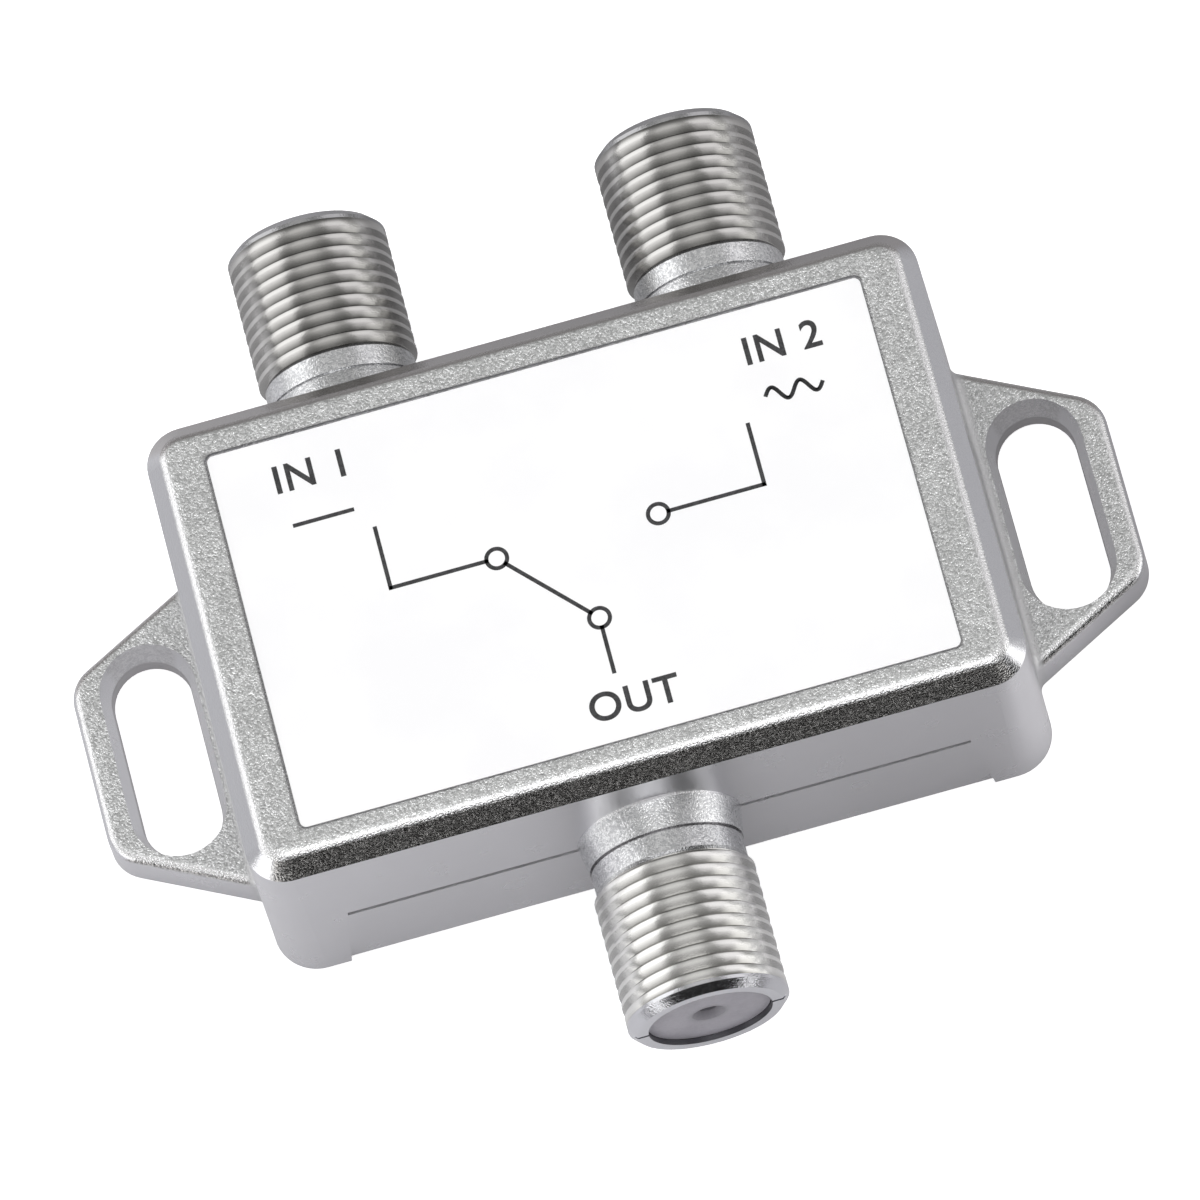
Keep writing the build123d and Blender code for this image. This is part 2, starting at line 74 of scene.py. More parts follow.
class Tree:
    """Adds nodes to one node tree and joins them."""

    def __init__(self, tree: bpy.types.NodeTree) -> None:
        """Keeps the node tree that the nodes go into."""
        self.tree = tree

    def add(self, kind: str, feeds: Mapping[int | str, Feed] | None = None, **settings: object) -> Node:
        """Makes a node.

        Args:
            kind: Blender's name of the node type.
            feeds: what goes into its inputs, by their name or number.
            settings: properties to set on the node.

        Returns:
            The new node.
        """
        node = self.tree.nodes.new(kind)
        for name, value in settings.items():
            setattr(node, name, value)
        for key, feed in (feeds or {}).items():
            self.put(node.inputs[key], feed)
        return node

    def put(self, socket: Socket, value: Feed) -> None:
        """Links an output to an input, or sets a constant on it.

        Args:
            socket: the input.
            value: an output to link, or a number, vector or colour to set.
        """
        if isinstance(value, Socket):
            self.tree.links.new(value, socket)
        elif isinstance(value, tuple) and socket.type == "RGBA":
            socket.default_value = (*value, 1.0)
        else:
            socket.default_value = value

    def math(self, operation: str, *values: Feed, clamp: bool = False) -> Socket:
        """Joins numbers by Blender's name of the sum, kept from 0 to 1 if it is clamped."""
        feeds = dict(enumerate(values))
        return self.add("ShaderNodeMath", feeds, operation=operation, use_clamp=clamp).outputs[0]

    def both(self, first: Feed, second: Feed) -> Socket:
        """Keeps what two masks share."""
        return self.math("MULTIPLY", first, second)

    def vector(self, operation: str, *terms: Feed) -> Socket:
        """Joins vectors into one, by Blender's name of the sum."""
        return self.add("ShaderNodeVectorMath", dict(enumerate(terms)), operation=operation).outputs["Vector"]

    def measure(self, operation: str, *terms: Feed) -> Socket:
        """Measures vectors, by Blender's name of the measure."""
        return self.add("ShaderNodeVectorMath", dict(enumerate(terms)), operation=operation).outputs["Value"]

    def scaled(self, vector: Socket, factor: Feed) -> Socket:
        """Multiplies a vector by one number."""
        feeds = {"Vector": vector, "Scale": factor}
        return self.add("ShaderNodeVectorMath", feeds, operation="SCALE").outputs["Vector"]

    def parts(self, vector: Socket) -> tuple[Socket, Socket, Socket]:
        """Splits a vector into its parts along X, Y and Z."""
        node = self.add("ShaderNodeSeparateXYZ", {0: vector})
        return node.outputs[0], node.outputs[1], node.outputs[2]

    def ramp(self, value: Socket, low: float, high: float, start: float = 0.0, end: float = 1.0) -> Socket:
        """Turns a value into a smooth step: start up to low, end from high on."""
        feeds = {"Value": value, "From Min": low, "From Max": high, "To Min": start, "To Max": end}
        return self.add("ShaderNodeMapRange", feeds, interpolation_type="SMOOTHSTEP").outputs["Result"]

    def mix(self, kind: Mix, *values: Feed) -> Socket:
        """Mixes two values of one kind, which follow the share of the second."""
        name, keys, result = kind.value
        return self.add("ShaderNodeMix", dict(zip(keys, values)), data_type=name).outputs[result]

    def blend(self, share: Feed, first: Feed, second: Feed) -> Socket:
        """Mixes two numbers, see mix."""
        return self.mix(Mix.NUMBER, share, first, second)

    def tint(self, share: Feed, first: Feed, second: Feed) -> Socket:
        """Mixes two colours, see mix."""
        return self.mix(Mix.COLOUR, share, first, second)

    def stack(self, kind: Mix, base: Feed, layers: Iterable[tuple[Socket, Feed]]) -> Feed:
        """Lays values over one another.

        Args:
            kind: what the values are.
            base: the lowest value.
            layers: mask and value of each layer, from the bottom up.

        Returns:
            What shows from above.
        """
        for mask, value in layers:
            base = self.mix(kind, mask, base, value)
        return base

    def noise(self, vector: Socket, scale: Feed, detail: float = 2.0, roughness: float = 0.5) -> Socket:
        """Adds soft noise about a half: waves to a unit, number of finer layers and their strength."""
        feeds = {"Vector": vector, "Scale": scale, "Detail": detail, "Roughness": roughness}
        return self.add("ShaderNodeTexNoise", feeds).outputs["Fac"]

    def cells(self, vector: Socket, scale: Feed, feature: str = "F1") -> Node:
        """Adds a pattern of cells to a unit, by Blender's name of what is measured in a cell."""
        return self.add("ShaderNodeTexVoronoi", {"Vector": vector, "Scale": scale}, feature=feature)

    def place(self) -> Socket:
        """Gives the place on the piece in millimetres."""
        return self.scaled(self.add("ShaderNodeTexCoord").outputs["Object"], 1.0 / MM)

    def effect(self, group: bpy.types.NodeTree, **values: Feed) -> Node:
        """Places a shared effect, with its inputs by name."""
        return self.add("ShaderNodeGroup", values, node_tree=group)


def port_spoke(tree: Tree, place: Socket) -> Socket:
    """Measures across a port.

    Args:
        tree: the material's node tree.
        place: the place on the piece in millimetres.

    Returns:
        The way from the axis of the nearest port.
    """
    across, along, above = tree.parts(place)
    aside = tree.ramp(along, *PORT_CHANGE, 0.0, PORT_OFFSET)
    offset = tree.math("MULTIPLY", tree.math("SIGN", across), aside)
    way = {"X": tree.math("SUBTRACT", across, offset), "Z": tree.math("SUBTRACT", above, PORT_HEIGHT)}
    return tree.add("ShaderNodeCombineXYZ", way).outputs[0]


class Flow(Enum):
    """Side of a shared effect that a socket is on."""

    IN = "INPUT"
    OUT = "OUTPUT"


class Effects:
    """Shader effects that several finishes share.

    Steps are where specks, clouds and marks begin and are full, and shares are parts of a mix. Marks are
    drawn out along each axis by the factors of DRAWN.
    """

    FINE_RATIO = 2.3
    FINE_ROUGHNESS = 0.6
    FINE_SHARE = 0.45
    PEBBLE_SHARE = 0.5
    CHANCE_SHARE = 0.55
    SPECK_STEP = (0.22, 0.78)
    NOISE_STEP = (0.3, 0.7)
    MARK_STEP = (0.35, 0.65)
    SLOW_DETAIL = 3.0
    DRAWN = (0.04, 1.0, 1.0)

    def __init__(self) -> None:
        """Builds each effect once."""
        self.grain = self._grain()
        self.clouds = self._clouds()
        self.scratches = self._scratches()

    @staticmethod
    def _start(name: str, inputs: Sequence[str], outputs: Sequence[str]) -> tuple[Tree, Node, Node]:
        """Starts an effect.

        Args:
            name: the name of the effect.
            inputs: names of what it reads, of which Place is a vector and the others are numbers.
            outputs: names of the numbers that it gives.

        Returns:
            The effect's tree, with its input and output nodes.
        """
        group = bpy.data.node_groups.new(name, "ShaderNodeTree")
        for flow, labels in ((Flow.IN, inputs), (Flow.OUT, outputs)):
            for label in labels:
                kind = "NodeSocketVector" if label == "Place" else "NodeSocketFloat"
                group.interface.new_socket(label, in_out=flow.value, socket_type=kind)
        tree = Tree(group)
        return tree, tree.add("NodeGroupInput"), tree.add("NodeGroupOutput")

    def _grain(self) -> bpy.types.NodeTree:
        """Makes the grain of a blasted mould.

        Returns:
            The effect, which gives a height and a mask of the grains that catch the light.
        """
        tree, start, end = self._start("cast_grain", ("Place", "Cells"), ("Height", "Specks"))
        place, cells = start.outputs["Place"], start.outputs["Cells"]
        coarse = tree.noise(place, cells, detail=1.0)
        fine = tree.noise(place, tree.math("MULTIPLY", cells, self.FINE_RATIO), roughness=self.FINE_ROUGHNESS)
        dots = tree.cells(place, cells)
        pebbles = tree.math("SUBTRACT", 1.0, dots.outputs["Distance"])
        sand = tree.blend(self.FINE_SHARE, coarse, fine)
        tree.put(end.inputs["Height"], tree.blend(self.PEBBLE_SHARE, sand, pebbles))
        chance = tree.parts(dots.outputs["Color"])[0]
        chosen = tree.blend(self.CHANCE_SHARE, tree.ramp(fine, *self.NOISE_STEP), chance)
        tree.put(end.inputs["Specks"], tree.ramp(chosen, *self.SPECK_STEP))
        return tree.tree

    def _clouds(self) -> bpy.types.NodeTree:
        """Makes a slow change of tone across a surface.

        Returns:
            The effect, which gives a tone from 0 to 1.
        """
        tree, start, end = self._start("tone_clouds", ("Place", "Size"), ("Tone",))
        scale = tree.math("DIVIDE", 1.0, start.outputs["Size"])
        noise = tree.noise(start.outputs["Place"], scale, detail=self.SLOW_DETAIL)
        tree.put(end.inputs["Tone"], tree.ramp(noise, *self.NOISE_STEP))
        return tree.tree

    def _scratches(self) -> bpy.types.NodeTree:
        """Makes fine parallel marks along one axis, as rolling or drawing leaves them.

        Returns:
            The effect, which gives a mask of the marks.
        """
        tree, start, end = self._start("rolling_marks", ("Place", "Fineness"), ("Marks",))
        drawn = tree.vector("MULTIPLY", start.outputs["Place"], self.DRAWN)
        noise = tree.noise(drawn, start.outputs["Fineness"], detail=self.SLOW_DETAIL)
        tree.put(end.inputs["Marks"], tree.ramp(noise, *self.MARK_STEP))
        return tree.tree


@dataclass(frozen=True)
class Finish:
    """A finish of one kind of surface.

    Attributes:
        name: name of the material.
        slot: the record's material slot, which is not used.
    """

    name: str
    slot: str

    def material(self, effects: Effects) -> bpy.types.Material:
        """Makes the material.

        Args:
            effects: the shared effects.

        Returns:
            The material, ready to put on a piece.
        """
        material = bpy.data.materials.new(self.name)
        material.use_nodes = True
        tree = Tree(material.node_tree)
        self.paint(tree, material.node_tree.nodes["Principled BSDF"], effects)
        return material

    def paint(self, tree: Tree, shader: Node, effects: Effects) -> None:
        """Joins the nodes of the finish to its shader.

        Args:
            tree: the material's node tree.
            shader: its Principled shader.
            effects: the shared effects.
        """
        raise NotImplementedError

    @staticmethod
    def emboss(tree: Tree, shader: Node, height: Socket, depth: float) -> Node:
        """Raises the surface by a height map.

        Args:
            tree: the material's node tree.
            shader: its Principled shader.
            height: the height, from 0 to 1.
            depth: how far a height of 1 stands up, in metres.

        Returns:
            The bump node.
        """
        bump = tree.add("ShaderNodeBump", {"Strength": 1.0, "Distance": depth, "Height": height})
        tree.put(shader.inputs["Normal"], bump.outputs["Normal"])
        return bump


@dataclass
class CastZones:
    """Masks of the casting's zones, from 0 outside a zone to 1 inside it.

    Sizes and places are in millimetres. A pair gives where a mask begins and where it is full, and a fade
    or edge is how soft it is there.

    Attributes:
        tree: the material's node tree.
        wall_plane, collar_end, neck_end, thread_end: where a barrel's collar, neck, thread and mouth begin.
        collar_radius: radius round a whole barrel.
        run_out_length: length of the groove before the thread.
        front_step: where the rear barrels' painted shade gives way to the front one's painted light.
        top_height, ear_height, ear_root: lowest top, highest ear, and the ears' distance from the middle.
        slot_offset, slot_reach: the slots' distance from the middle, and half their straight length.
        recess_step, recess_right: edge of the rim round the label, and how much sooner its right fades.
        level_step, edge_step, bevel_step, blasted_step: how far such faces look up, or to the rear.
    """

    tree: Tree
    wall_plane: float = 14.55
    wall_fade: float = 0.05
    collar_radius: float = 4.9
    collar_end: float = 16.31
    step_rise: Pair = (-0.03, -0.01)
    step_fall: Pair = (0.1, 0.01)
    neck_end: float = 17.9
    thread_fade: float = 0.06
    run_out_length: float = 0.24
    thread_end: float = 25.87
    mouth_fade: float = 0.02
    pitch: float = 0.79375
    bore_radius: float = 3.65
    bore_edge: Pair = (0.02, 0.005)
    front_step: Pair = (5.0, -5.0)
    top_height: float = 14.8
    ear_height: float = 3.4
    skin_fade: float = 0.2
    ear_root: float = 23.3
    fade: float = 0.1
    corner_edge: Pair = (0.7, 0.4)
    slot_offset: float = 26.8
    slot_radius: float = 2.35
    slot_reach: float = 3.85
    slot_edge: Pair = (0.06, 0.02)
    recess_step: Pair = (0.3, 0.05)
    recess_right: float = 2.0
    level_step: Pair = (0.93, 0.995)
    edge_step: Pair = (0.1, 0.5)
    bevel_step: Pair = (0.78, 0.66)
    blasted_step: Pair = (-0.58, -0.72)

    def __post_init__(self) -> None:
        """Works out the masks from the place and the normal."""
        tree = self.tree
        self.place = tree.place()
        self.across, self.depth, self.above = tree.parts(self.place)
        self.along = tree.math("ABSOLUTE", self.depth)
        self.surface = tree.add("ShaderNodeNewGeometry").outputs["Normal"]
        _, self.facing_rear, self.facing_up = tree.parts(self.surface)
        self.spoke = port_spoke(tree, self.place)
        self.radius = tree.measure("LENGTH", self.spoke)
        self._find_barrels()
        self._find_ears()
        self._find_faces()
        self._find_recess()

    def _within(self, value: Socket, base: float, edge: Pair) -> Socket:
        """Makes a step whose edge is given from a base."""
        return self.tree.ramp(value, base + edge[0], base + edge[1])

    def _find_barrels(self) -> None:
        """Finds the barrels, and on them the step of the collar, the thread, the mouth and the bore."""
        tree, along = self.tree, self.along
        outside = tree.ramp(self.radius, self.collar_radius + self.fade, self.collar_radius)
        self.barrel = tree.both(tree.ramp(along, self.wall_plane, self.wall_plane + self.wall_fade), outside)
        # The collar's step, whose end face takes a painted shade.
        rise = self._within(along, self.collar_end, self.step_rise)
        self.step = tree.both(rise, self._within(along, self.collar_end, self.step_fall))
        self.mouth = tree.ramp(along, self.thread_end, self.thread_end + self.mouth_fade)
        begun = tree.ramp(along, self.neck_end - self.thread_fade, self.neck_end)
        self.thread = tree.math("SUBTRACT", begun, self.mouth)
        start = self.neck_end - self.run_out_length
        before = tree.ramp(along, self.neck_end, self.neck_end - self.thread_fade)
        self.run_out = tree.both(tree.ramp(along, start, start + self.thread_fade), before)
        self.bore = tree.both(self.mouth, self._within(self.radius, self.bore_radius, self.bore_edge))
        # The front barrel, painted paler than the rear ones as painted light.
        self.front = tree.ramp(self.depth, *self.front_step)
        run = tree.math("DIVIDE", tree.math("SUBTRACT", along, self.thread_end), self.pitch)
        self.turn = tree.math("FRACT", run)

    def _find_ears(self) -> None:
        """Finds the ears, their corners with the box and the walls of their slots."""
        tree = self.tree
        outward = tree.math("ABSOLUTE", self.across)
        low = tree.ramp(self.above, self.ear_height, self.ear_height - self.skin_fade)
        self.ear = tree.both(low, tree.ramp(outward, self.ear_root - self.fade, self.ear_root))
        self.corner = tree.both(self.ear, self._within(outward, self.ear_root, self.corner_edge))
        past = tree.math("MAXIMUM", tree.math("SUBTRACT", self.along, self.slot_reach), 0.0)
        aside = tree.math("SUBTRACT", outward, self.slot_offset)
        reach = tree.math("SQRT", tree.math("ADD", tree.both(past, past), tree.both(aside, aside)))
        self.slot = tree.both(low, self._within(reach, self.slot_radius, self.slot_edge))

    def _find_faces(self) -> None:
        """Finds the flat tops, the seam and the upper edges with their bevels."""
        tree = self.tree
        body = tree.math("SUBTRACT", 1.0, self.barrel)
        level = tree.both(tree.ramp(self.facing_up, *self.level_step), body)
        top = tree.ramp(self.above, self.top_height, self.top_height + self.skin_fade)
        self.flat = tree.both(level, tree.math("MAXIMUM", self.ear, top))
        # The seam's upward faces, whose colour is a painted shade in its groove.
        self.seam = tree.math("SUBTRACT", level, self.flat)
        self.edge = tree.both(tree.ramp(self.facing_up, *self.edge_step), body)
        self.bevel = tree.both(self.edge, tree.ramp(self.facing_up, *self.bevel_step))
        # Bevels facing the front: their colour is a painted dark reflection, and their grain is stronger.
        self.blasted = tree.ramp(self.facing_rear, *self.blasted_step)

    def _find_recess(self) -> None:
        """Finds the shaded rim round the label."""
        tree, across = self.tree, self.across
        low, high = (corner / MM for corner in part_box("label"))
        left, front = tree.math("SUBTRACT", low.x, across), tree.math("SUBTRACT", low.y, self.depth)
        right = tree.math("MULTIPLY", tree.math("SUBTRACT", across, high.x), self.recess_right)
        rear = tree.math("SUBTRACT", self.depth, high.y)
        away = tree.math("MAXIMUM", tree.math("MAXIMUM", left, right), tree.math("MAXIMUM", front, rear))
        # The rim round the label, where a shadow is painted.
        self.recess = tree.both(self.flat, tree.ramp(away, *self.recess_step))


@dataclass(frozen=True)
class CastNickel(Finish):
    """Nickel on a zinc casting: sandy on the flat tops, smooth on the walls and bright on the threads.

    Pairs of roughness and bump belong to both ends of the change of tone or of the grain.

    Attributes:
        dull, bright: the flat tops, between the grains and on those that catch the light.
        front_strip, front_lift: depths where a painted highlight makes the top paler to the front, and by how
            much.
        crest, edge_side, edge_rear: rounds of the top edge, paler as a painted highlight, its bevels at the
            sides, and the painted shade of rounds and bevels that face the rear.
        rear_crest, rear_facet: how far rounds and bevels face the rear where they take the painted shade.
        edge_dull, edge_bright: the bevel at the front, a painted dark reflection with paler specks of the
            grain.
        thread, root, rim: crest and groove of a turn, and the mouth, with others for the front or the rear;
            the front
        barrel's are paler as painted light, and the rear barrels' darker as painted shade.
        crest_share, groove_step: where a turn has its crest, and how far from there the groove's painted
            shade grows.
        roof_step, side_groove: how far up a groove's painted shade is full, and how strong it is at the
            sides.
        turn_tilt: how far the sides of a turn lean, in degrees.
    """

    grain_cells: float = 9.0
    grain_depth: float = 0.055 * MM
    cloud_size: float = 3.0
    dull: Colour = (0.47, 0.475, 0.475)
    bright: Colour = (0.95, 0.96, 0.965)
    # Painted highlight on the flat tops near the front edge.
    front_strip: Pair = (-11.9, -12.9)
    front_lift: float = 0.06
    wall: Colour = (0.585, 0.58, 0.6)
    corner: Colour = (0.6, 0.6, 0.61)
    slot_wall: Colour = (0.46, 0.45, 0.46)
    # Darker than the wall: painted shade on the floor of the seam's groove.
    seam: Colour = (0.52, 0.515, 0.53)
    # Paler than the wall: a painted highlight on the rounds of the top edge.
    crest: Colour = (0.78, 0.78, 0.79)
    edge_side: Colour = (0.6, 0.6, 0.62)
    # Darker: painted shade on rounds and bevels that face the rear.
    edge_rear: Colour = (0.49, 0.475, 0.475)
    rear_crest: Pair = (0.08, 0.3)
    rear_facet: Pair = (0.2, 0.5)
    # Painted dark reflection on the bevels facing the front, with paler specks of the grain.
    edge_dull: Colour = (0.2, 0.196, 0.192)
    edge_bright: Colour = (0.58, 0.57, 0.56)
    # Painted shadow along the edge of the label's recess.
    recess: Colour = (0.4, 0.4, 0.405)
    collar_dull: Colour = (0.5, 0.505, 0.52)
    collar_bright: Colour = (0.8, 0.805, 0.815)
    # Painted shade on the end face of the collar's step.
    step: Colour = (0.3, 0.295, 0.305)
    thread: Colour = (0.62, 0.612, 0.598)
    # Painted shade in the grooves of the thread.
    root: Colour = (0.17, 0.167, 0.16)
    # Paler on the front barrel, crest and groove: painted light.
    thread_front: Colour = (0.82, 0.815, 0.8)
    root_front: Colour = (0.36, 0.355, 0.34)
    crest_share: float = 0.5
    groove_step: Pair = (0.02, 0.5)
    roof_step: Pair = (0.45, 0.85)
    side_groove: float = 0.3
    turn_tilt: float = 14.0
    # Front mouth paler and bluer as a painted reflection of the floor; rear mouths darker as painted shade.
    rim: Colour = (0.64, 0.64, 0.67)
    rim_rear: Colour = (0.4, 0.4, 0.41)
    # Painted shade inside the bore, and at a share in the groove before the thread.
    bore: Colour = (0.16, 0.16, 0.17)
    run_out_share: float = 0.6
    wall_rough: Pair = (0.27, 0.32)
    edge_rough: Pair = (0.27, 0.19)
    flat_rough: Pair = (0.36, 0.22)
    dull_rough: float = 0.5
    collar_rough: Pair = (0.32, 0.22)
    thread_rough: Pair = (0.2, 0.27)
    rim_rough: Pair = (0.12, 0.22)
    wall_bump: float = 0.04
    edge_bump: Pair = (0.7, 0.2)
    flat_bump: Pair = (0.95, 1.35)
    collar_bump: float = 0.45
    thread_bump: float = 0.06
    rim_bump: float = 0.25

    def paint(self, tree: Tree, shader: Node, effects: Effects) -> None:
        """Joins colour, roughness and relief of the casting's zones, see Finish.paint."""
        zones = CastZones(tree)
        grain = tree.effect(effects.grain, Place=zones.place, Cells=self.grain_cells)
        specks = grain.outputs["Specks"]
        clouds = tree.effect(effects.clouds, Place=zones.place, Size=self.cloud_size).outputs["Tone"]
        tree.put(shader.inputs["Base Color"], self._colour(tree, zones, specks))
        shader.inputs["Metallic"].default_value = 1.0
        tree.put(shader.inputs["Roughness"], self._roughness(tree, zones, specks, clouds))
        height = tree.math("MULTIPLY", grain.outputs["Height"], self._relief(tree, zones, clouds))
        bump = self.emboss(tree, shader, height, self.grain_depth)
        tree.put(bump.inputs["Normal"], self._turned(tree, zones))

    def _colour(self, tree: Tree, zones: CastZones, specks: Socket) -> Feed:
        """Lays the colours of the zones over one another.

        Args:
            tree: the material's node tree.
            zones: the masks.
            specks: the grains that catch the light.

        Returns:
            The colour.
        """
        # Painted shade on the bevels that face the rear.
        facet = tree.tint(tree.ramp(zones.facing_rear, *self.rear_facet), self.edge_side, self.edge_rear)
        # A painted dark reflection, speckled by the grain, on the bevels facing the front.
        facet = tree.tint(zones.blasted, facet, tree.tint(specks, self.edge_dull, self.edge_bright))
        # Rounds: a painted highlight, with painted shade where they face the rear.
        crest = tree.tint(tree.ramp(zones.facing_rear, *self.rear_crest), self.crest, self.edge_rear)
        # Painted highlight: the flat tops paler near the front edge.
        lift = tree.ramp(zones.depth, *self.front_strip, 0.0, self.front_lift)
        lit = tree.math("ADD", specks, lift, clamp=True)
        # Threads: the front barrel painted paler than the rear ones, as painted light.
        ridge = tree.tint(zones.front, self.thread, self.thread_front)
        # Painted shade in the grooves of the thread, lighter on the front barrel.
        valley = tree.tint(zones.front, self.root, self.root_front)
        layers = (
            (zones.edge, crest),
            (zones.bevel, facet),
            (zones.flat, tree.tint(lit, self.dull, self.bright)),
            (zones.recess, self.recess),
            (zones.corner, self.corner),
            (zones.slot, self.slot_wall),
            (zones.seam, self.seam),
            (zones.barrel, tree.tint(specks, self.collar_dull, self.collar_bright)),
            (tree.both(zones.step, zones.barrel), self.step),
            (zones.thread, tree.tint(self._groove(tree, zones), ridge, valley)),
            (zones.mouth, tree.tint(zones.front, self.rim_rear, self.rim)),
            # Painted shade in the groove before the thread and inside the bore.
            (tree.math("MULTIPLY", zones.run_out, self.run_out_share), self.bore),
            (zones.bore, self.bore),
        )
        return tree.stack(Mix.COLOUR, self.wall, layers)

    def _groove(self, tree: Tree, zones: CastZones) -> Socket:
        """Finds the grooves of the thread, whose painted shade is darker on the roof of a barrel than at its
        sides.

        Args:
            tree: the material's node tree.
            zones: the masks.

        Returns:
            A mask of the grooves.
        """
        roof = tree.math("DIVIDE", tree.parts(zones.spoke)[2], zones.radius)
        away = tree.math("ABSOLUTE", tree.math("SUBTRACT", zones.turn, self.crest_share))
        share = tree.ramp(roof, *self.roof_step, self.side_groove, 1.0)
        return tree.both(tree.ramp(away, *self.groove_step), share)

    def _roughness(self, tree: Tree, zones: CastZones, specks: Socket, clouds: Socket) -> Feed:
        """Lays the roughness of the zones over one another.

        Args:
            tree: the material's node tree.
            zones: the masks.
            specks: the grains that catch the light.
            clouds: the slow change of tone.

        Returns:
            The roughness.
        """
        layers = (
            (zones.edge, tree.blend(zones.bevel, *self.edge_rough)),
            (zones.flat, tree.blend(specks, *self.flat_rough)),
            (zones.corner, self.dull_rough),
            (tree.math("MAXIMUM", zones.slot, zones.seam), self.dull_rough),
            (zones.barrel, tree.blend(specks, *self.collar_rough)),
            (zones.thread, tree.blend(clouds, *self.thread_rough)),
            (zones.mouth, tree.blend(specks, *self.rim_rough)),
        )
        return tree.stack(Mix.NUMBER, tree.blend(clouds, *self.wall_rough), layers)

    def _relief(self, tree: Tree, zones: CastZones, clouds: Socket) -> Feed:
        """Lays the strength of the zones' grain over one another.

        Args:
            tree: the material's node tree.
            zones: the masks.
            clouds: the slow change of tone.

        Returns:
            The strength.
        """
        plain = tree.math("SUBTRACT", zones.bevel, zones.blasted, clamp=True)
        layers = (
            (zones.edge, tree.blend(plain, *self.edge_bump)),
            (zones.flat, tree.blend(clouds, *self.flat_bump)),
            (zones.barrel, self.collar_bump),
            (zones.thread, self.thread_bump),
            (zones.mouth, self.rim_bump),
        )
        return tree.stack(Mix.NUMBER, self.wall_bump, layers)

    def _turned(self, tree: Tree, zones: CastZones) -> Socket:
        """Rounds the turns of the thread, whose crests are flat in the model.

        Args:
            tree: the material's node tree.
            zones: the masks.

        Returns:
            The normal with rounded turns.
        """
        passed = tree.math("SUBTRACT", zones.turn, self.crest_share)
        tilt = tree.math("MULTIPLY", passed, math.radians(2 * self.turn_tilt))
        slope = tree.math("MULTIPLY", tree.math("SIGN", zones.depth), tree.math("TANGENT", tilt))
        lean = tree.add("ShaderNodeCombineXYZ", {"Y": slope}).outputs[0]
        rounded = tree.vector("NORMALIZE", tree.vector("ADD", tree.vector("NORMALIZE", zones.spoke), lean))
        return tree.mix(Mix.VECTOR, zones.thread, zones.surface, rounded)


@dataclass(frozen=True)
class SheetMetal(Finish):
    """Rolled or drawn metal with fine parallel marks, in two tones.

    Sizes are in millimetres, depths in metres. The spread gives the shares of the roughness in the tones.
    """

    colour: Colour
    shade: Colour
    roughness: float = 0.3
    rough_spread: Pair = (0.8, 1.25)
    fineness: float = 9.0
    mark_depth: float = 0.004 * MM
    metallic: float = 1.0
    cloud_size: float = 4.0
    cloud_share: float = 0.5

    def paint(self, tree: Tree, shader: Node, effects: Effects) -> None:
        """Joins the marks and the slow change of tone, see Finish.paint."""
        place = tree.place()
        marks = tree.effect(effects.scratches, Place=place, Fineness=self.fineness).outputs["Marks"]
        clouds = tree.effect(effects.clouds, Place=place, Size=self.cloud_size).outputs["Tone"]
        share = tree.blend(self.cloud_share, marks, clouds)
        tree.put(shader.inputs["Base Color"], tree.tint(share, self.colour, self.shade))
        shader.inputs["Metallic"].default_value = self.metallic
        rough = [self.roughness * part for part in self.rough_spread]
        tree.put(shader.inputs["Roughness"], tree.blend(share, *rough))
        self.emboss(tree, shader, marks, self.mark_depth)


@dataclass(frozen=True)
class CanSleeve(SheetMetal):
    """Drawn capacitor can on a black base.

    Attributes:
        base: colour of the base.
        base_height: height of the base off the board, in millimetres.
    """

    base: Colour = (0.014, 0.014, 0.015)
    base_height: float = 0.8

    def paint(self, tree: Tree, shader: Node, effects: Effects) -> None:
        """Joins the can's marks and its base, see Finish.paint."""
        super().paint(tree, shader, effects)
        level = BOARD_FACE - self.base_height
        base = tree.ramp(tree.parts(tree.place())[2], level - HAIR, level + HAIR)
        can = shader.inputs["Base Color"].links[0].from_socket
        tree.put(shader.inputs["Base Color"], tree.tint(base, can, self.base))
        tree.put(shader.inputs["Metallic"], tree.blend(base, self.metallic, 0.0))


class Metal(Enum):
    """Bare metal on a part that is otherwise grained."""

    NONE = "none"
    LEADS = "flat leads next to the board"
    ENDS = "tinned ends"
    WINDING = "wire round the core"


